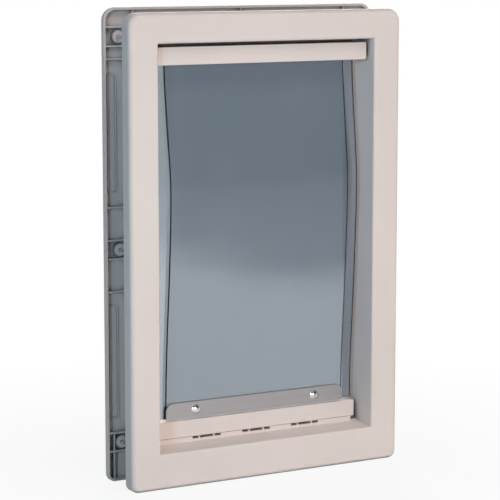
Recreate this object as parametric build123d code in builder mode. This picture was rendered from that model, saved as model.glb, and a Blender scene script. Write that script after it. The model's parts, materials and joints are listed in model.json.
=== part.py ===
"""Dog door for a house door: two moulded frames that telescope through the door and a weighted vinyl flap.

Millimetres, +Z up. The origin is on the floor under the middle of the part. The outdoor face looks along -Y,
the indoor face along +Y, and X runs across the door.
"""

import os
from math import sqrt

from build123d import *

# Frames: overall size and moulded section
frame_width = 380.0
frame_height = 579.0
rear_rise = 5.0
corner_radius = 16.0
foot_corner_radius = 10.0
front_edge_radius = 6.0
rear_edge_radius = 5.0
wall = 3.0
side_border = 38.5
top_border = 36.5
bottom_border = 45.0
opening_edge_radius = 3.0
front_depth = 19.5
rear_depth = 10.0
door_gap = 50.5

# Telescoping sleeves
front_sleeve_length = 62.0
sleeve_overlap = 21.0
sleeve_clearance = 0.5

# Ribs, bosses and frame screws
rib_thickness = 2.0
rib_setback = 1.5
boss_radius = 7.5
boss_inset = 19.5
boss_from_top = 30.0
boss_from_bottom = 49.0
boss_rib_reach = 11.5
middle_rib_reach = 52.0
top_rib_drop = 57.0
foot_rib_inset = 10.0
pad_width = 12.0
pad_inset = 12.5
pad_line = 1.6
pad_end_clearance = 17.0
notch_radius = 1.5
notch_spacing = 150.0
screw_radius = 2.0
screw_hole_clearance = 0.1
screw_passage_radius = 2.3
screw_head_radius = 4.0
screw_head_height = 2.6
head_recess_radius = 4.6
head_recess_depth = 4.0
screw_engagement = 5.0

# Drained ledge and sill
ledge_rise = 9.0
ledge_step = 6.0
sill_setback = 33.0
sill_depth = 19.5
sill_height = 21.5
sill_end_gap = 6.0
sill_wall = 2.5
drain_length = 11.5
drain_depth = 5.0
drain_reach = 14.0
sill_edge_radius = 1.2
sill_seam = 0.8
window_width = 40.0
window_height = 3.0
window_spacing = 71.0
window_rib_width = 2.0
window_rib_offset = 10.3
window_depth = 12.0
strike_length = 40.0
strike_width = 9.0
strike_thickness = 1.5

# Flap header and the rail that it is screwed to
header_setback = 12.0
header_height = 22.0
header_top_gap = 4.5
header_end_gap = 4.5
header_wall = 2.5
header_corner_radius = 3.0
header_edge_radius = 1.2
header_boss_radius = 4.0
header_screw_count = 4
header_screw_inset = 27.0
header_screw_radius = 1.75
header_screw_head_radius = 3.5
header_screw_head_height = 2.2
screw_head_bevel = 0.8
header_screw_bite = 8.0

# Flap: two vinyl sheets held apart by the bottom weight
flap_setback = 38.0
sheet_thickness = 1.6
sheet_spacing = 3.0
rear_sheet_gap = 8.0
front_sheet_inset = 16.5
flap_bulge = 15.0
hinge_drop = 3.5
swing_clearance = 0.3
flap_floor_gap = 2.0

# Bottom weight
bar_height = 20.5
bar_thickness = 1.5
bar_corner_radius = 9.0
bar_edge_lip = 1.0
magnet_height = 14.0
magnet_gap = 14.0
magnet_clearance = 6.5
post_inset = 41.5
post_radius = 2.0
post_hole_clearance = 0.1
post_head_radius = 6.2
post_head_height = 2.6
driver_slot_width = 1.2
driver_slot_depth = 0.9

# Levels and depths that follow
total_depth = front_depth + door_gap + rear_depth
front_face = -total_depth / 2
front_rim = front_face + front_depth
rear_rim = front_rim + door_gap
rear_face = rear_rim + rear_depth
front_sleeve_end = front_face + front_sleeve_length
rear_sleeve_start = front_sleeve_end - sleeve_overlap
rear_height = frame_height + rear_rise
opening_width = frame_width - 2 * side_border
opening_height = frame_height - top_border - bottom_border
opening_bottom = bottom_border
opening_top = frame_height - top_border
opening_middle = (opening_bottom + opening_top) / 2
sleeve_width = opening_width + 2 * wall
sleeve_height = opening_height + 2 * wall
rear_opening_width = sleeve_width + 2 * sleeve_clearance
rear_opening_height = sleeve_height + 2 * sleeve_clearance
sill_front = front_face + sill_setback
sill_bottom = opening_bottom + ledge_rise
sill_top = sill_bottom + sill_height
sill_width = opening_width - 2 * sill_end_gap
flap_y = front_face + flap_setback
flap_half = sheet_thickness + sheet_spacing / 2
header_top = opening_top - header_top_gap
header_bottom = header_top - header_height
header_front = front_face + header_setback
header_back = flap_y - flap_half
header_middle = (header_top + header_bottom) / 2
header_width = opening_width - 2 * header_end_gap
header_screw_spacing = (header_width - 2 * header_screw_inset) / (header_screw_count - 1)
rear_sheet_width = opening_width - 2 * rear_sheet_gap
front_sheet_width = rear_sheet_width - 2 * front_sheet_inset
bar_width = front_sheet_width
rail_front = flap_y + flap_half
hinge_z = header_bottom - hinge_drop
clamp_bottom = hinge_z + flap_half + swing_clearance
flap_bottom = sill_top + flap_floor_gap
bar_middle = flap_bottom + bar_height / 2
sheet_bottom = flap_bottom + bar_edge_lip
boss_levels = (boss_from_bottom, frame_height / 2, frame_height - boss_from_top)
boss_sides = (-1, 1)
boss_x = frame_width / 2 - boss_inset
boss_points = [(side * boss_x, level) for level in boss_levels for side in boss_sides]
header_screw_points = [
    ((index - (header_screw_count - 1) / 2) * header_screw_spacing, header_middle)
    for index in range(header_screw_count)
]
post_x = bar_width / 2 - post_inset
post_points = [(side * post_x, bar_middle) for side in (-1, 1)]
magnet_length = post_x - post_radius - magnet_clearance - magnet_gap / 2
magnet_spacing = magnet_length + magnet_gap
magnet_points = [(side * magnet_spacing / 2, bar_middle) for side in (-1, 1)]
strike_points = [(index * window_spacing, flap_y + sill_wall) for index in (-1, 0, 1)]


def upright(y):
    """Upright sketch plane at depth y seen from outdoors: its x is +X, its y is +Z, and it faces -Y."""
    return Plane.XZ.offset(-y)


def flange_outline(y, height, inset=0.0):
    """Outline of a frame at depth y, rounder at the top than at the foot, drawn in by an inset."""
    with BuildSketch(upright(y)) as outline:
        with Locations((0, height / 2)):
            Rectangle(frame_width - 2 * inset, height - 2 * inset)
        fillet(outline.vertices().group_by(Axis.Y)[-1], corner_radius - inset)
        fillet(outline.vertices().group_by(Axis.Y)[0], foot_corner_radius - inset)
    return outline.sketch


def save(part, name):
    """Label a finished piece and write it as a STEP file of the same name."""
    part.label = name
    export_step(part, f"parts/{name}.step")


os.makedirs("parts", exist_ok=True)

# Front frame: outdoor flange, inner sleeve, drained ledge and flap rail in one moulding
with BuildPart() as front_frame:
    extrude(flange_outline(front_face, frame_height), amount=-front_depth)
    fillet(front_frame.faces().sort_by(Axis.Y)[0].edges(), front_edge_radius)
    extrude(flange_outline(front_rim, frame_height, wall), amount=front_depth - wall, mode=Mode.SUBTRACT)
    with BuildSketch(upright(front_face + wall)):
        with Locations((0, opening_middle)):
            Rectangle(sleeve_width, sleeve_height)
    extrude(amount=-(front_sleeve_length - wall))
    # Bosses and the ribs that tie them to the rim and to the sleeve
    with BuildSketch(upright(front_face + wall)):
        with Locations(*boss_points):
            Circle(boss_radius)
    extrude(amount=-(front_depth - wall))
    with BuildSketch(upright(front_face + wall)):
        for side in boss_sides:
            for level in boss_levels:
                for reach in (-boss_rib_reach, boss_rib_reach):
                    with Locations((side * (frame_width - side_border) / 2, level + reach)):
                        Rectangle(side_border - wall, rib_thickness)
        for low, high in ((0, opening_bottom), (opening_top, frame_height)):
            for index in (-1, 0, 1):
                with Locations((index * notch_spacing / 1.5, (low + high) / 2)):
                    Rectangle(rib_thickness, high - low - 2 * wall)
    extrude(amount=-(front_depth - wall - rib_setback))
    with BuildSketch(upright(front_face)):
        with Locations((0, opening_middle)):
            Rectangle(opening_width, opening_height)
    extrude(amount=-front_sleeve_length, mode=Mode.SUBTRACT)
    fillet(front_frame.faces().sort_by(Axis.Y)[0].inner_wires()[0].edges(), opening_edge_radius)
    # Ledge that sheds water outdoors, with a step up to the sill
    with BuildSketch(Plane.YZ):
        with BuildLine():
            Polyline(
                (front_face + opening_edge_radius, opening_bottom),
                (sill_front, sill_bottom - ledge_step),
                (sill_front, sill_bottom),
                (front_sleeve_end, sill_bottom),
                (front_sleeve_end, opening_bottom),
                close=True,
            )
        make_face()
    extrude(amount=opening_width / 2, both=True)
    # Drain notches at the ends of the step, and three latch windows along it, each with two ribs
    with BuildSketch(Plane.XY.offset(sill_bottom - drain_depth)):
        for side in (-1, 1):
            with Locations((side * (opening_width - drain_length) / 2, sill_front + drain_reach / 2)):
                Rectangle(drain_length, drain_reach)
    extrude(amount=drain_depth, mode=Mode.SUBTRACT)
    with BuildSketch(upright(sill_front)):
        with Locations(*[(index * window_spacing, sill_bottom - window_height / 2) for index in (-1, 0, 1)]):
            Rectangle(window_width, window_height)
            with Locations((-window_rib_offset, 0), (window_rib_offset, 0)):
                Rectangle(window_rib_width, window_height, mode=Mode.SUBTRACT)
    extrude(amount=-window_depth, mode=Mode.SUBTRACT)
    # Rail that hangs from the top of the sleeve behind the flap
    with BuildSketch(upright(rail_front)):
        with Locations((0, (opening_top + clamp_bottom) / 2)):
            Rectangle(opening_width, opening_top - clamp_bottom)
    extrude(amount=-wall)
    with BuildSketch(upright(rail_front)):
        with Locations(*header_screw_points):
            Circle(header_screw_radius + screw_hole_clearance)
    extrude(amount=-wall, mode=Mode.SUBTRACT)
    with BuildSketch(upright(front_rim)):
        with Locations(*boss_points):
            Circle(screw_radius + screw_hole_clearance)
    extrude(amount=front_depth - wall, mode=Mode.SUBTRACT)
save(front_frame.part, "front_frame")

# Rear frame: indoor flange with its open side towards the door, ribs, bosses and the outer sleeve
pad_levels = [
    (low + pad_end_clearance, high - pad_end_clearance)
    for low, high in (
        (boss_levels[0] + boss_rib_reach, boss_levels[1] - middle_rib_reach),
        (boss_levels[1] + middle_rib_reach, frame_height - top_rib_drop),
    )
]
rib_levels = [level + reach for level in boss_levels for reach in (-boss_rib_reach, boss_rib_reach)]
rib_levels += [boss_levels[1] + reach for reach in (-middle_rib_reach, middle_rib_reach)]
rib_levels += [frame_height - top_rib_drop]
foot_rib_top = boss_levels[0] + boss_rib_reach
with BuildPart() as rear_frame:
    extrude(flange_outline(rear_rim, rear_height), amount=-rear_depth)
    fillet(rear_frame.faces().sort_by(Axis.Y)[-1].edges(), rear_edge_radius)
    extrude(flange_outline(rear_rim, rear_height, wall), amount=-(rear_depth - wall), mode=Mode.SUBTRACT)
    with BuildSketch(upright(rear_sleeve_start)):
        with Locations((0, opening_middle)):
            Rectangle(rear_opening_width + 2 * wall, rear_opening_height + 2 * wall)
    extrude(amount=-(rear_face - wall - rear_sleeve_start))
    with BuildSketch(upright(rear_rim)):
        with Locations(*boss_points):
            Circle(boss_radius)
    extrude(amount=-(rear_depth - wall))
    with BuildSketch(upright(rear_rim + rib_setback)):
        for side in boss_sides:
            for level in rib_levels:
                with Locations((side * (frame_width - side_border) / 2, level)):
                    Rectangle(side_border - wall, rib_thickness)
            with Locations((side * (frame_width / 2 - foot_rib_inset), foot_rib_top / 2)):
                Rectangle(rib_thickness, foot_rib_top - wall)
        for low, high in ((0, opening_bottom), (opening_top, rear_height)):
            for index in (-1, 0, 1):
                with Locations((index * notch_spacing, (low + high) / 2)):
                    Rectangle(rib_thickness, high - low - 2 * wall)
    extrude(amount=-(rear_depth - wall - rib_setback))
    # Raised outlines on the floor of the side channels
    with BuildSketch(upright(rear_face - wall - pad_line)):
        for side in boss_sides:
            for low, high in pad_levels:
                with Locations((side * (frame_width / 2 - pad_inset), (low + high) / 2)):
                    RectangleRounded(pad_width, high - low, pad_width / 3)
                    RectangleRounded(
                        pad_width - 2 * pad_line,
                        high - low - 2 * pad_line,
                        pad_width / 3 - pad_line,
                        mode=Mode.SUBTRACT,
                    )
    extrude(amount=-pad_line)
    with BuildSketch(upright(rear_sleeve_start)):
        with Locations((0, opening_middle)):
            Rectangle(rear_opening_width, rear_opening_height)
    extrude(amount=-(rear_face - rear_sleeve_start), mode=Mode.SUBTRACT)
    fillet(rear_frame.faces().sort_by(Axis.Y)[-1].inner_wires()[0].edges(), opening_edge_radius)
    with BuildSketch(upright(rear_rim)):
        with Locations(*boss_points):
            Circle(screw_passage_radius)
    extrude(amount=-rear_depth, mode=Mode.SUBTRACT)
    with BuildSketch(upright(rear_face)):
        with Locations(*boss_points):
            Circle(head_recess_radius)
    extrude(amount=head_recess_depth, mode=Mode.SUBTRACT)
    # Drill marks along the top edge
    with BuildSketch(upright(rear_rim)):
        with Locations(*[(index * notch_spacing, rear_height) for index in (-1, 0, 1)]):
            Circle(notch_radius)
    extrude(amount=-notch_radius, mode=Mode.SUBTRACT)
save(rear_frame.part, "rear_frame")

# Frame screws: driven from indoors through the rear bosses into the front bosses
screw_seat = rear_face - head_recess_depth
screw_tip = front_rim - screw_engagement
for number, point in enumerate(boss_points, 1):
    with BuildPart() as frame_screw:
        with BuildSketch(upright(screw_seat)):
            with Locations(point):
                Circle(screw_head_radius)
        extrude(amount=-screw_head_height)
        chamfer(frame_screw.edges().sort_by(Axis.Y)[-1:], screw_head_bevel)
        with BuildSketch(upright(screw_seat)):
            with Locations(point):
                Circle(screw_radius)
        extrude(amount=screw_seat - screw_tip)
        chamfer(frame_screw.edges().sort_by(Axis.Y)[:1], screw_radius / 2)
    save(frame_screw.part, f"frame_screw_{number}")

# Sill: hollow cover that snaps onto the ledge, with a strike plate above each latch window
with BuildPart() as sill_cover:
    with BuildSketch(Plane.XY.offset(sill_bottom)):
        with Locations((0, sill_front + sill_depth / 2)):
            Rectangle(sill_width, sill_depth)
    extrude(amount=sill_height)
    outer_edges = sill_cover.edges().filter_by(Axis.Z) + sill_cover.faces().sort_by(Axis.Z)[-1].edges()
    fillet(outer_edges, sill_edge_radius)
    with BuildSketch(Plane.XY.offset(sill_bottom)):
        with Locations((0, sill_front + sill_depth / 2)):
            Rectangle(sill_width - 2 * sill_wall, sill_depth - 2 * sill_wall)
    extrude(amount=sill_height - sill_wall, mode=Mode.SUBTRACT)
    sill_foot = sill_cover.faces().sort_by(Axis.Z)[0].outer_wire().edges()
    chamfer(sill_foot.filter_by(Axis.X).sort_by(Axis.Y)[0], sill_seam)
save(sill_cover.part, "sill_cover")

# Strike plates: steel, under the top wall of the sill
for number, point in enumerate(strike_points, 1):
    with BuildPart() as strike_plate:
        with BuildSketch(Plane.XY.offset(sill_top - sill_wall - strike_thickness)):
            with Locations(point):
                Rectangle(strike_length, strike_width)
        extrude(amount=strike_thickness)
    save(strike_plate.part, f"strike_plate_{number}")

# Flap header: hollow bar with screw bosses, open towards the flap
with BuildPart() as flap_header:
    with BuildSketch(upright(header_front)):
        with Locations((0, header_middle)):
            RectangleRounded(header_width, header_height, header_corner_radius)
    extrude(amount=-(header_back - header_front))
    fillet(flap_header.faces().sort_by(Axis.Y)[0].edges(), header_edge_radius)
    with BuildSketch(upright(header_back)):
        with Locations((0, header_middle)):
            Rectangle(header_width - 2 * header_wall, header_height - 2 * header_wall)
    extrude(amount=header_back - header_front - header_wall, mode=Mode.SUBTRACT)
    with BuildSketch(upright(header_front + header_wall)):
        with Locations(*header_screw_points):
            Circle(header_boss_radius)
    extrude(amount=-(header_back - header_front - header_wall))
    with BuildSketch(upright(header_back)):
        with Locations(*header_screw_points):
            Circle(header_screw_radius)
    extrude(amount=header_screw_bite, mode=Mode.SUBTRACT)
save(flap_header.part, "flap_header")


def clamped_strip(width, front, thickness):
    """Strip of the flap's top that the header clamps against the rail, drilled for the header screws."""
    with BuildPart() as strip:
        with BuildSketch(upright(front)):
            with Locations((0, (header_top + clamp_bottom) / 2)):
                Rectangle(width, header_top - clamp_bottom)
            with Locations(*header_screw_points):
                Circle(header_screw_radius + screw_hole_clearance, mode=Mode.SUBTRACT)
        extrude(amount=-thickness)
    return strip.part


save(clamped_strip(front_sheet_width, header_back, sheet_thickness), "front_sheet_top_edge")
save(clamped_strip(front_sheet_width, header_back + sheet_thickness, sheet_spacing), "flap_spacer")
rear_strip_front = rail_front - sheet_thickness
save(clamped_strip(rear_sheet_width, rear_strip_front, sheet_thickness), "rear_sheet_top_edge")

# Header screws: through the rail and the clamped strips into the header bosses
header_screw_seat = rail_front + wall
for number, point in enumerate(header_screw_points, 1):
    with BuildPart() as header_screw:
        with BuildSketch(upright(header_screw_seat)):
            with Locations(point):
                Circle(header_screw_head_radius)
        extrude(amount=-header_screw_head_height)
        chamfer(header_screw.edges().sort_by(Axis.Y)[-1:], screw_head_bevel)
        with BuildSketch(upright(header_screw_seat)):
            with Locations(point):
                Circle(header_screw_radius)
        extrude(amount=header_screw_seat - header_back + header_screw_bite)
    save(header_screw.part, f"header_screw_{number}")


def hanging_sheet(width, inner, outer):
    """Swinging part of one sheet, between two offsets from the flap's middle plane, bowed outdoors."""
    drop = hinge_z - sheet_bottom
    flat_top = hinge_z - sheet_bottom - bar_height
    bow = ((0.12, 0.30), (0.36, 1.0), (0.56, 0.74), (0.76, 0.27))
    inner_y, outer_y = flap_y + inner, flap_y + outer
    inner_top = hinge_z + sqrt(flap_half**2 - inner**2)
    top_arc_radius = flap_half if outer > inner else -flap_half

    def bowed(y):
        return [(y - share * flap_bulge, hinge_z - fall * drop) for fall, share in bow]

    with BuildPart() as sheet:
        with BuildSketch(Plane.YZ):
            with BuildLine():
                Spline(
                    (outer_y, hinge_z),
                    *bowed(outer_y),
                    (outer_y, hinge_z - flat_top),
                    tangents=((0, -1), (0, -1)),
                )
                Line((outer_y, hinge_z - flat_top), (outer_y, sheet_bottom))
                Line((outer_y, sheet_bottom), (inner_y, sheet_bottom))
                Line((inner_y, sheet_bottom), (inner_y, hinge_z - flat_top))
                Spline(
                    (inner_y, hinge_z - flat_top),
                    *reversed(bowed(inner_y)),
                    (inner_y, hinge_z),
                    tangents=((0, 1), (0, 1)),
                )
                Line((inner_y, hinge_z), (inner_y, inner_top))
                RadiusArc((inner_y, inner_top), (outer_y, hinge_z), top_arc_radius)
            make_face()
        extrude(amount=width / 2, both=True)
        with BuildSketch(upright(flap_y - total_depth)):
            with Locations(*post_points):
                Circle(post_radius + post_hole_clearance)
        extrude(amount=-2 * total_depth, mode=Mode.SUBTRACT)
    return sheet.part


save(hanging_sheet(front_sheet_width, -sheet_spacing / 2, -flap_half), "flap_front_sheet")
save(hanging_sheet(rear_sheet_width, sheet_spacing / 2, flap_half), "flap_rear_sheet")


def weight_bar(front):
    """Steel strip across the foot of the flap, with round upper corners and two post holes."""
    with BuildPart() as bar:
        with BuildSketch(upright(front)) as outline:
            with Locations((0, bar_middle)):
                Rectangle(bar_width, bar_height)
            fillet(outline.vertices().group_by(Axis.Y)[-1], bar_corner_radius)
            with Locations(*post_points):
                Circle(post_radius + post_hole_clearance, mode=Mode.SUBTRACT)
        extrude(amount=-bar_thickness)
    return bar.part


save(weight_bar(flap_y - flap_half - bar_thickness), "flap_bar_front")
save(weight_bar(flap_y + flap_half), "flap_bar_rear")

# Magnets: flat bars in the space between the sheets
for number, point in enumerate(magnet_points, 1):
    with BuildPart() as magnet:
        with BuildSketch(upright(flap_y - sheet_spacing / 2)):
            with Locations(point):
                Rectangle(magnet_length, magnet_height)
        extrude(amount=-sheet_spacing)
    save(magnet.part, f"flap_magnet_{number}")

# Binding screws and posts: domed heads that clamp both bars and both sheets
bar_front = flap_y - flap_half - bar_thickness
bar_back = flap_y + flap_half + bar_thickness
dome_radius = (post_head_radius**2 + post_head_height**2) / (2 * post_head_height)
for number, point in enumerate(post_points, 1):
    head_axis = Plane(origin=(point[0], bar_front, point[1]), x_dir=(1, 0, 0), z_dir=(0, -1, 0))
    with BuildPart() as bar_screw:
        with BuildSketch(Plane(origin=head_axis.origin, x_dir=(1, 0, 0), z_dir=(0, 0, 1))):
            with BuildLine():
                Line((0, 0), (post_head_radius, 0))
                RadiusArc((post_head_radius, 0), (0, -post_head_height), dome_radius)
                Line((0, -post_head_height), (0, 0))
            make_face()
        revolve(axis=Axis(head_axis.origin, (0, 1, 0)))
        with BuildSketch(upright(bar_front - post_head_height)):
            with Locations(point):
                Rectangle(2 * post_head_radius, driver_slot_width, rotation=35)
        extrude(amount=-driver_slot_depth, mode=Mode.SUBTRACT)
        with BuildSketch(upright(bar_front)):
            with Locations(point):
                Circle(post_radius)
        extrude(amount=-(bar_back - bar_front))
    save(bar_screw.part, f"bar_screw_{number}")
    with BuildPart() as bar_post:
        with BuildSketch(Plane(origin=(point[0], bar_back, point[1]), x_dir=(1, 0, 0), z_dir=(0, 0, 1))):
            with BuildLine():
                Line((0, 0), (post_head_radius, 0))
                RadiusArc((post_head_radius, 0), (0, post_head_height), -dome_radius)
                Line((0, post_head_height), (0, 0))
            make_face()
        revolve(axis=Axis((point[0], bar_back, point[1]), (0, 1, 0)))
    save(bar_post.part, f"bar_post_{number}")
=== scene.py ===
"""Dog door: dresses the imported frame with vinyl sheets, materials, studio light and the photo's camera."""

import json
import math

import bmesh
import bpy
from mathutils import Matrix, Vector


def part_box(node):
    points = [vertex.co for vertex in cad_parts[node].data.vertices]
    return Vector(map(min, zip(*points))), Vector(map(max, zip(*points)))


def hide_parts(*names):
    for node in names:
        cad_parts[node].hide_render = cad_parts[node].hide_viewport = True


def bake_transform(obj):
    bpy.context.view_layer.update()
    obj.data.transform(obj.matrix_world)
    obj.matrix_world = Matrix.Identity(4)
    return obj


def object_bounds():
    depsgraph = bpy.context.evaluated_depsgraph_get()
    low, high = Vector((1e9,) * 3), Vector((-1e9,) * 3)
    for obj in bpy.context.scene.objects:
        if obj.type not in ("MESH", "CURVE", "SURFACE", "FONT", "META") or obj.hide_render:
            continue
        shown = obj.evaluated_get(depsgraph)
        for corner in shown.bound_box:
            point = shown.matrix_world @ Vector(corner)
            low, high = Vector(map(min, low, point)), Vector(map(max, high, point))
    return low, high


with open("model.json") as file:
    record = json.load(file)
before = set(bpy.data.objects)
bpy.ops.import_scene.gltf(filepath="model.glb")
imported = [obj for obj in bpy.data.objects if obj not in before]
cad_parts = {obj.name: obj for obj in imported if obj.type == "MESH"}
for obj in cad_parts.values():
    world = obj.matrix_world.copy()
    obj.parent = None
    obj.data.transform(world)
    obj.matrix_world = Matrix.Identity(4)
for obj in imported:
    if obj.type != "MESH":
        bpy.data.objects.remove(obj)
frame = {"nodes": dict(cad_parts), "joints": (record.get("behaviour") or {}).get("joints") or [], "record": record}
cad_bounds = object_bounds()
nodes = frame["nodes"]
scene = bpy.context.scene
MM = 0.001

# Camera: where the photo was taken from, for a square picture
CAMERA_AZIMUTH = math.radians(-29.33)
CAMERA_ELEVATION = math.radians(8.38)
CAMERA_DISTANCE = 2.5746
CAMERA_AIM = Vector((-0.0052, 0.0, 0.2811))
CAMERA_SENSOR = 36.0
CAMERA_LENS = 148.34

# Colours, linear; a mottled colour runs between the two of its tints
WHITE = (1.0, 1.0, 1.0, 1.0)
PLASTIC_TINTS = ((0.687, 0.581, 0.538, 1.0), (0.720, 0.612, 0.567, 1.0))
# Painted shade: the colour the plastic is darkened to deep in its recesses and corners
PLASTIC_RECESS_SHADE = (0.17, 0.19, 0.21, 1.0)
VINYL_TINTS = ((0.202, 0.228, 0.276, 1.0), (0.220, 0.246, 0.297, 1.0))
# Painted shadow: the colour the vinyl is darkened to right next to parts that sit close against it
VINYL_CONTACT_SHADE = (0.05, 0.06, 0.08, 1.0)
VINYL_CLEAR = (0.90, 0.97, 1.0, 1.0)
# Painted shade: near-black for the vinyl's cut edges and the narrow border beside them
EDGE_SHADE_TINTS = ((0.006, 0.008, 0.012, 1.0), (0.0084, 0.0112, 0.0168, 1.0))
STEEL_TINTS = ((0.405, 0.385, 0.392, 1.0), (0.440, 0.420, 0.428, 1.0))
PLATING_TINTS = ((0.62, 0.61, 0.59, 1.0), (0.78, 0.77, 0.75, 1.0))
MAGNET_TINTS = ((0.030, 0.030, 0.032, 1.0), (0.055, 0.054, 0.056, 1.0))
FLOOR_TINTS = ((0.62, 0.63, 0.64, 1.0), (0.66, 0.67, 0.68, 1.0))
CARD_TINTS = ((0.35, 0.35, 0.35, 1.0), (0.03, 0.03, 0.03, 1.0))
AMBIENT = (0.034, 0.043, 0.050, 1.0)

# Finishes: a shade span is how open a recess is where the painted shade is full, and where it ends;
# the vinyl's body is how much of the light each of its faces stops
NOISE_SPAN = (0.3, 0.7)
RECESS_SHADE_SAMPLES = 8
PLASTIC_SHADE_DEPTH = 14 * MM
SMOOTH_SHADE_SPAN = (0.05, 0.48)
RIBBED_SHADE_SPAN = (0.15, 0.72)
PLASTIC_SPECULAR = 0.28
VINYL_SHADE_DEPTH = 1.8 * MM
VINYL_SHADE_SPAN = (0.62, 0.90)
VINYL_IOR = 2.2
VINYL_SPECULAR = 1.0
VINYL_BODY = 0.53
EDGE_SPECULAR = 0.2

# Flap sheets: the bow's knots are falls below the bend, as shares of the drop, with shares of the deepest bow
BOW = ((0.0, 0.0), (0.12, 0.30), (0.36, 1.0), (0.56, 0.74), (0.76, 0.27), (0.95, 0.0))
BOW_LEFT = 1.10
BOW_RIGHT = 0.88
RIPPLE_DEPTH = 1.9 * MM
RIPPLE_FALL = 0.72
RIPPLE_REACH = 0.12
RIPPLE_TURN = 0.83 * math.pi
SHEET_COLUMNS = 28
SHEET_ROWS = 110
# Border along the sheet's sides, painted dark like its cut edges
SHEET_BORDER = 1.1 * MM
SHARP_ANGLE = math.radians(40)
hinge = Vector(next(j["pos_m"] for j in frame["joints"] if j["name"] == "flap_swing"))

# Floor: how white it looks near the object, and from where to where that runs out to white
FLOOR_SIZE = 24.0
FLOOR_GLOW = 0.89
SHADOW_REACH = (0.22, 0.75)
PANEL_CELLS = 4

# Dark boards of the studio, which show only in gloss: name, size, place and turn
CARD_FADE = (0.06, 0.22)
DARK_BOARDS = (
    ("front_board", 1.8, (0.50, -0.88, 0.90), (math.radians(90), 0.0, math.radians(29))),
    ("ceiling_board", 6.0, (0.0, -2.0, 2.6), (0.0, 0.0, 0.0)),
)

# Lamps: name, what it looks at, place, size, power and colour
LAMPS = (
    ("key", "door", (0.3, -3.0, 0.4), 1.6, 17.5, (1.0, 0.94, 0.885)),
    ("top", "door", (0.2, -2.4, 3.6), 1.8, 62.0, (1.0, 0.945, 0.89)),
    ("sill_fill", "sill", (-0.1, -1.0, 0.3), 0.5, 2.7, (1.0, 0.96, 0.93)),
    ("warm_side", "door", (2.6, -1.7, 1.0), 1.2, 13.0, (1.0, 0.93, 0.86)),
    ("cool_side", "door", (-2.3, -1.9, 0.9), 0.4, 21.5, (0.57, 1.0, 1.30)),
    ("back_left", "door", (-1.0, 2.4, 1.2), 1.4, 5.0, (0.72, 1.0, 1.20)),
    ("back_right", "door", (1.5, 2.6, 1.1), 1.4, 55.0, (1.0, 0.965, 0.93)),
)


# Parts of materials


def new_material(name):
    """Material with one Principled shader; returns it with its tree and that shader."""
    material = bpy.data.materials.new(name)
    material.use_nodes = True
    tree = material.node_tree
    return material, tree, tree.nodes["Principled BSDF"]


def noise(tree, scale, stretch=(1, 1, 1), detail=3.0):
    """Noise over the piece's own space; stretch draws it out along an axis."""
    place = tree.nodes.new("ShaderNodeTexCoord")
    mapping = tree.nodes.new("ShaderNodeMapping")
    mapping.inputs["Scale"].default_value = stretch
    texture = tree.nodes.new("ShaderNodeTexNoise")
    texture.inputs["Scale"].default_value = scale
    texture.inputs["Detail"].default_value = detail
    tree.links.new(place.outputs["Object"], mapping.inputs["Vector"])
    tree.links.new(mapping.outputs["Vector"], texture.inputs["Vector"])
    return texture.outputs["Fac"]


def ramp(tree, factor, span, tints):
    """Colour that runs from one tint to another over a span of the factor."""
    node = tree.nodes.new("ShaderNodeValToRGB")
    for element, position, tint in zip(node.color_ramp.elements, span, tints):
        element.position = position
        element.color = tint
    tree.links.new(factor, node.inputs["Fac"])
    return node.outputs["Color"]


def spread(tree, factor, span, values):
    """Number that runs from one value to another over a span of the factor."""
    node = tree.nodes.new("ShaderNodeMapRange")
    node.inputs["From Min"].default_value = span[0]
    node.inputs["From Max"].default_value = span[1]
    node.inputs["To Min"].default_value = values[0]
    node.inputs["To Max"].default_value = values[1]
    tree.links.new(factor, node.inputs["Value"])
    return node.outputs["Result"]


def colour_mix(tree, blend):
    """Mix of two colours; returns the sockets for its factor and its two colours, and its result."""
    mix = tree.nodes.new("ShaderNodeMix")
    mix.data_type = "RGBA"
    mix.blend_type = blend
    first, second = [socket for socket in mix.inputs if socket.type == "RGBA"]
    result = next(socket for socket in mix.outputs if socket.type == "RGBA")
    return mix.inputs["Factor"], first, second, result


def mixed_surface(tree, first, second):
    """Makes a mix of two shaders the surface; returns the socket for the second one's share."""
    mix = tree.nodes.new("ShaderNodeMixShader")
    tree.links.new(first, mix.inputs[1])
    tree.links.new(second, mix.inputs[2])
    tree.links.new(mix.outputs["Shader"], tree.nodes["Material Output"].inputs["Surface"])
    return mix.inputs["Fac"]


def tinted(tree, shader, factor, tints, span=NOISE_SPAN):
    """Drives the shader's colour from one tint to another over a span of the factor."""
    tree.links.new(ramp(tree, factor, span, tints), shader.inputs["Base Color"])


def varied_roughness(tree, shader, factor, low, high):
    """Spreads the shader's roughness between two values."""
    tree.links.new(spread(tree, factor, NOISE_SPAN, (low, high)), shader.inputs["Roughness"])


def bumped(tree, shader, factor, distance, strength):
    """Adds fine relief of the given depth in metres."""
    bump = tree.nodes.new("ShaderNodeBump")
    bump.inputs["Distance"].default_value = distance
    bump.inputs["Strength"].default_value = strength
    tree.links.new(factor, bump.inputs["Height"])
    tree.links.new(bump.outputs["Normal"], shader.inputs["Normal"])


def shaded_in_recesses(tree, shader, depth, shade, span):
    """Paints shade into the shader's colour in recesses, over a span of how open they are within a depth."""
    unshaded_colour = shader.inputs["Base Color"].links[0].from_socket
    recess = tree.nodes.new("ShaderNodeAmbientOcclusion")
    recess.inputs["Distance"].default_value = depth
    recess.samples = RECESS_SHADE_SAMPLES
    factor, first, second, result = colour_mix(tree, "MULTIPLY")
    factor.default_value = 1.0
    tree.links.new(unshaded_colour, first)
    tree.links.new(ramp(tree, recess.outputs["AO"], span, (shade, WHITE)), second)
    tree.links.new(result, shader.inputs["Base Color"])


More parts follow.
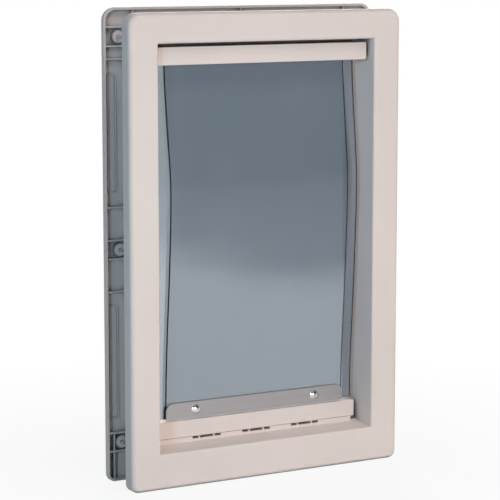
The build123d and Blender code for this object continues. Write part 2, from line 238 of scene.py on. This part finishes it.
def seen_directly(tree):
    """1 for rays that look at the background itself: from the camera, in gloss or through clear parts."""
    path = tree.nodes.new("ShaderNodeLightPath")
    seen = path.outputs["Is Camera Ray"]
    for kind in ("Is Glossy Ray", "Is Transmission Ray"):
        either = tree.nodes.new("ShaderNodeMath")
        either.operation = "MAXIMUM"
        tree.links.new(seen, either.inputs[0])
        tree.links.new(path.outputs[kind], either.inputs[1])
        seen = either.outputs["Value"]
    return seen


# Materials


def moulded_plastic(name, shade_span):
    """Warm off-white satin plastic with faint mottling, a fine moulded grain and painted shade in its recesses."""
    material, tree, shader = new_material(name)
    tinted(tree, shader, noise(tree, scale=9.0), PLASTIC_TINTS)
    # Painted shade, darkening the colour in recesses and corners
    shaded_in_recesses(tree, shader, PLASTIC_SHADE_DEPTH, PLASTIC_RECESS_SHADE, shade_span)
    varied_roughness(tree, shader, noise(tree, scale=45.0), low=0.50, high=0.62)
    bumped(tree, shader, noise(tree, scale=1400.0, detail=2.0), distance=0.03 * MM, strength=0.5)
    shader.inputs["Specular IOR Level"].default_value = PLASTIC_SPECULAR
    return material


def clear_vinyl():
    """Smoky blue see-through vinyl, glossy, with faint smudges, a slight waviness and a painted shadow line where
    parts sit close against it.
    """
    material, tree, shader = new_material("clear_vinyl")
    tinted(tree, shader, noise(tree, scale=14.0, stretch=(1, 1, 0.4)), VINYL_TINTS)
    # Painted contact shadow: a thin dark line where the bar and other parts sit close on the vinyl
    shaded_in_recesses(tree, shader, VINYL_SHADE_DEPTH, VINYL_CONTACT_SHADE, VINYL_SHADE_SPAN)
    varied_roughness(tree, shader, noise(tree, scale=30.0), low=0.12, high=0.18)
    bumped(tree, shader, noise(tree, scale=16.0, detail=1.0), distance=0.25 * MM, strength=0.40)
    shader.inputs["IOR"].default_value = VINYL_IOR
    shader.inputs["Specular IOR Level"].default_value = VINYL_SPECULAR
    clear = tree.nodes.new("ShaderNodeBsdfTransparent")
    clear.inputs["Color"].default_value = VINYL_CLEAR
    body = mixed_surface(tree, clear.outputs["BSDF"], shader.outputs["BSDF"])
    body.default_value = VINYL_BODY
    return material


def vinyl_edge_shade():
    """Cut edge of the vinyl, where light is trapped and it looks nearly black; that dark look is painted into its
    colour.
    """
    material, tree, shader = new_material("vinyl_edge_shade")
    tinted(tree, shader, noise(tree, scale=60.0), EDGE_SHADE_TINTS)
    varied_roughness(tree, shader, noise(tree, scale=200.0), low=0.45, high=0.60)
    shader.inputs["Specular IOR Level"].default_value = EDGE_SPECULAR
    return material


def brushed_steel():
    """Strip steel with grain along its length."""
    material, tree, shader = new_material("brushed_steel")
    grain = noise(tree, scale=260.0, stretch=(0.04, 1, 1), detail=4.0)
    tinted(tree, shader, grain, STEEL_TINTS)
    varied_roughness(tree, shader, grain, low=0.36, high=0.46)
    bumped(tree, shader, grain, distance=0.012 * MM, strength=0.4)
    shader.inputs["Metallic"].default_value = 1.0
    return material


def bright_plating():
    """Plated steel for the fasteners."""
    material, tree, shader = new_material("bright_plating")
    tinted(tree, shader, noise(tree, scale=300.0), PLATING_TINTS)
    varied_roughness(tree, shader, noise(tree, scale=700.0), low=0.12, high=0.24)
    shader.inputs["Metallic"].default_value = 1.0
    return material


def dark_magnet():
    """Sintered magnet bar."""
    material, tree, shader = new_material("dark_magnet")
    tinted(tree, shader, noise(tree, scale=900.0), MAGNET_TINTS)
    varied_roughness(tree, shader, noise(tree, scale=500.0), low=0.5, high=0.7)
    return material


def dark_card():
    """Matt dark board that pales towards its foot."""
    material, tree, shader = new_material("dark_card")
    place = tree.nodes.new("ShaderNodeTexCoord")
    split = tree.nodes.new("ShaderNodeSeparateXYZ")
    tree.links.new(place.outputs["Generated"], split.inputs["Vector"])
    tinted(tree, shader, split.outputs["Y"], CARD_TINTS, CARD_FADE)
    varied_roughness(tree, shader, noise(tree, scale=8.0), low=0.8, high=0.95)
    return material


def pale_floor():
    """Matt white sweep that keeps a soft shadow near the object and runs out to plain white."""
    material, tree, shader = new_material("pale_floor")
    tinted(tree, shader, noise(tree, scale=2.0), FLOOR_TINTS)
    varied_roughness(tree, shader, noise(tree, scale=6.0), low=0.75, high=0.9)
    place = tree.nodes.new("ShaderNodeTexCoord")
    away = tree.nodes.new("ShaderNodeVectorMath")
    away.operation = "LENGTH"
    share = tree.nodes.new("ShaderNodeMath")
    share.operation = "MULTIPLY"
    white = tree.nodes.new("ShaderNodeEmission")
    whiteness = mixed_surface(tree, shader.outputs["BSDF"], white.outputs["Emission"])
    tree.links.new(place.outputs["Object"], away.inputs[0])
    tree.links.new(spread(tree, away.outputs["Value"], SHADOW_REACH, (FLOOR_GLOW, 1.0)), share.inputs[0])
    tree.links.new(seen_directly(tree), share.inputs[1])
    tree.links.new(share.outputs["Value"], whiteness)
    return material


PLASTIC = moulded_plastic("moulded_plastic", SMOOTH_SHADE_SPAN)
# Same plastic on the ribbed rear frame, with its painted shade reaching further out of the recesses
RIBBED_PLASTIC = moulded_plastic("ribbed_plastic", RIBBED_SHADE_SPAN)
VINYL = clear_vinyl()
EDGE_SHADE = vinyl_edge_shade()
STEEL = brushed_steel()
PLATING = bright_plating()
MAGNET = dark_magnet()
SLOT_MATERIALS = {
    "frame_plastic": PLASTIC,
    "flap_vinyl": VINYL,
    "bar_steel": STEEL,
    "fastener_steel": PLATING,
    "magnet": MAGNET,
    "strike_steel": STEEL,
}
NODE_MATERIALS = {"rear_frame": RIBBED_PLASTIC}
for part in frame["record"]["subparts"]:
    mesh = nodes[part["node"]].data
    mesh.materials.clear()
    mesh.materials.append(NODE_MATERIALS.get(part["node"], SLOT_MATERIALS[part["material_slot"]]))


# Flap sheets: each runs unbroken from under the header, over the bend, to the weight at its foot


def bow_slopes():
    """Slope of the bow at each of its knots, level at both ends and where it is deepest."""
    slopes = [0.0]
    for (f0, s0), (f2, s2) in zip(BOW, BOW[2:]):
        slopes.append((s2 - s0) / (f2 - f0))
    slopes.append(0.0)
    deepest = [share for fall, share in BOW].index(1.0)
    slopes[deepest] = 0.0
    return slopes


def bow_share(fall):
    """How far the flap bows outdoors at a fall of 0 to 1 below the bend, as a share of its deepest bow."""
    if fall <= 0 or fall >= BOW[-1][0]:
        return 0.0
    slopes = bow_slopes()
    i = next(i for i, (end, share) in enumerate(BOW[1:]) if fall <= end)
    f0, s0 = BOW[i]
    f1, s1 = BOW[i + 1]
    step = f1 - f0
    t = (fall - f0) / step
    return (
        (2 * t**3 - 3 * t**2 + 1) * s0
        + (t**3 - 2 * t**2 + t) * step * slopes[i]
        + (3 * t**2 - 2 * t**3) * s1
        + (t**3 - t**2) * step * slopes[i + 1]
    )


def ripple(fall, across):
    """How far a slack ripple near the foot stands out: nothing at the left edge, most past the middle."""
    height = math.exp(-(((fall - RIPPLE_FALL) / RIPPLE_REACH) ** 2))
    return RIPPLE_DEPTH * height * math.sin(RIPPLE_TURN * across)


def sheet_side(sheet, y, top, low, high, bow):
    """Rows of points over one side of a sheet, from its clamped top to its foot, with a narrow border."""
    border = SHEET_BORDER / (high.x - low.x)
    inner = [border + (1 - 2 * border) * column / SHEET_COLUMNS for column in range(SHEET_COLUMNS + 1)]
    rows = []
    for row in range(SHEET_ROWS + 1):
        z = top + (low.z - top) * row / SHEET_ROWS
        fall = (hinge.z - z) / (hinge.z - low.z)
        share = bow_share(fall)
        points = []
        for across in (0.0, *inner, 1.0):
            x = low.x + (high.x - low.x) * across
            amount = BOW_LEFT + (BOW_RIGHT - BOW_LEFT) * across
            out = bow * share * amount + ripple(fall, across)
            points.append(sheet.verts.new((x, y - out, z)))
        rows.append(points)
    return rows


def close_sheet(sheet, front, back):
    """Joins two sides into a closed sheet; its cut edges and border take the second material, painted nearly black
    for the light trapped in the edge.
    """
    last = len(front[0]) - 1
    quads = []
    for r in range(SHEET_ROWS):
        for c in range(last):
            in_border = c in (0, last - 1)
            quads.append(((front[r][c], front[r + 1][c], front[r + 1][c + 1], front[r][c + 1]), in_border))
            quads.append(((back[r][c + 1], back[r + 1][c + 1], back[r + 1][c], back[r][c]), in_border))
        for c in (0, last):
            quads.append(((front[r][c], back[r][c], back[r + 1][c], front[r + 1][c]), True))
    for r in (0, SHEET_ROWS):
        for c in range(last):
            quads.append(((front[r][c], front[r][c + 1], back[r][c + 1], back[r][c]), True))
    for corners, dark in quads:
        face = sheet.faces.new(corners)
        face.material_index = int(dark)
        face.smooth = True
    bmesh.ops.recalc_face_normals(sheet, faces=sheet.faces)
    for rim in sheet.edges:
        rim.smooth = rim.calc_face_angle() < SHARP_ANGLE


def placed(name, data):
    """New object of the scene."""
    item = bpy.data.objects.new(name, data)
    scene.collection.objects.link(item)
    return item


def vinyl_sheet(name, hanging, clamped):
    """One closed sheet in place of a hanging node and its clamped edge, bowed as the node is."""
    low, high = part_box(hanging)
    strip_low, strip_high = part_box(clamped)
    bow = strip_low.y - low.y
    sheet = bmesh.new()
    front = sheet_side(sheet, strip_low.y, strip_high.z, low, high, bow)
    back = sheet_side(sheet, strip_high.y, strip_high.z, low, high, bow)
    close_sheet(sheet, front, back)
    mesh = bpy.data.meshes.new(name)
    sheet.to_mesh(mesh)
    sheet.free()
    mesh.materials.append(VINYL)
    mesh.materials.append(EDGE_SHADE)
    piece = placed(name, mesh)
    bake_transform(piece)
    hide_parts(hanging, clamped)


vinyl_sheet("front_vinyl_sheet", "flap_front_sheet", "front_sheet_top_edge")
vinyl_sheet("rear_vinyl_sheet", "flap_rear_sheet", "rear_sheet_top_edge")


# Studio


def look_along(item, direction):
    """Turns a lamp or camera to look in a direction, upright."""
    item.rotation_mode = "QUATERNION"
    item.rotation_quaternion = direction.to_track_quat("-Z", "Y")


def area_light(name, aim, place, size, power, colour):
    """Square soft light that looks at a point."""
    lamp = bpy.data.lights.new(name, "AREA")
    lamp.size = size
    lamp.energy = power
    lamp.color = colour
    light = placed(name, lamp)
    light.location = place
    look_along(light, aim - Vector(place))


def white_world():
    """White to look at; as a light it only gives the ambient colour."""
    world = bpy.data.worlds.new("studio")
    scene.world = world
    world.use_nodes = True
    tree = world.node_tree
    factor, as_light, as_seen, result = colour_mix(tree, "MIX")
    as_light.default_value = AMBIENT
    as_seen.default_value = WHITE
    tree.links.new(seen_directly(tree), factor)
    tree.links.new(result, tree.nodes["Background"].inputs["Color"])


def staged_panel(name, size, place, turn, material):
    """Flat square of the studio, not part of the object."""
    panel = bmesh.new()
    bmesh.ops.create_grid(panel, x_segments=PANEL_CELLS, y_segments=PANEL_CELLS, size=size / 2)
    mesh = bpy.data.meshes.new(name)
    panel.to_mesh(mesh)
    panel.free()
    mesh.materials.append(material)
    piece = placed(name, mesh)
    piece.location = place
    piece.rotation_euler = turn
    return piece


def photo_camera():
    """Camera at the photo's place, without shift."""
    lens = bpy.data.cameras.new("photo_camera")
    lens.sensor_width = CAMERA_SENSOR
    lens.lens = CAMERA_LENS
    back = Vector(
        (
            math.sin(CAMERA_AZIMUTH) * math.cos(CAMERA_ELEVATION),
            -math.cos(CAMERA_AZIMUTH) * math.cos(CAMERA_ELEVATION),
            math.sin(CAMERA_ELEVATION),
        )
    )
    camera = placed("photo_camera", lens)
    camera.location = CAMERA_AIM + CAMERA_DISTANCE * back
    look_along(camera, -back)
    scene.camera = camera


scene.view_settings.view_transform = "Standard"
white_world()
staged_panel("floor", FLOOR_SIZE, (0, 0, 0), (0, 0, 0), pale_floor())
card = dark_card()
for name, size, place, turn in DARK_BOARDS:
    board = staged_panel(name, size, place, turn, card)
    board.visible_camera = False
    board.visible_diffuse = False
    board.visible_shadow = False
sill_low, sill_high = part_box("sill_cover")
aims = {"door": (cad_bounds[0] + cad_bounds[1]) / 2, "sill": (sill_low + sill_high) / 2}
for name, target, place, size, power, colour in LAMPS:
    area_light(name, aims[target], place, size, power, colour)
photo_camera()
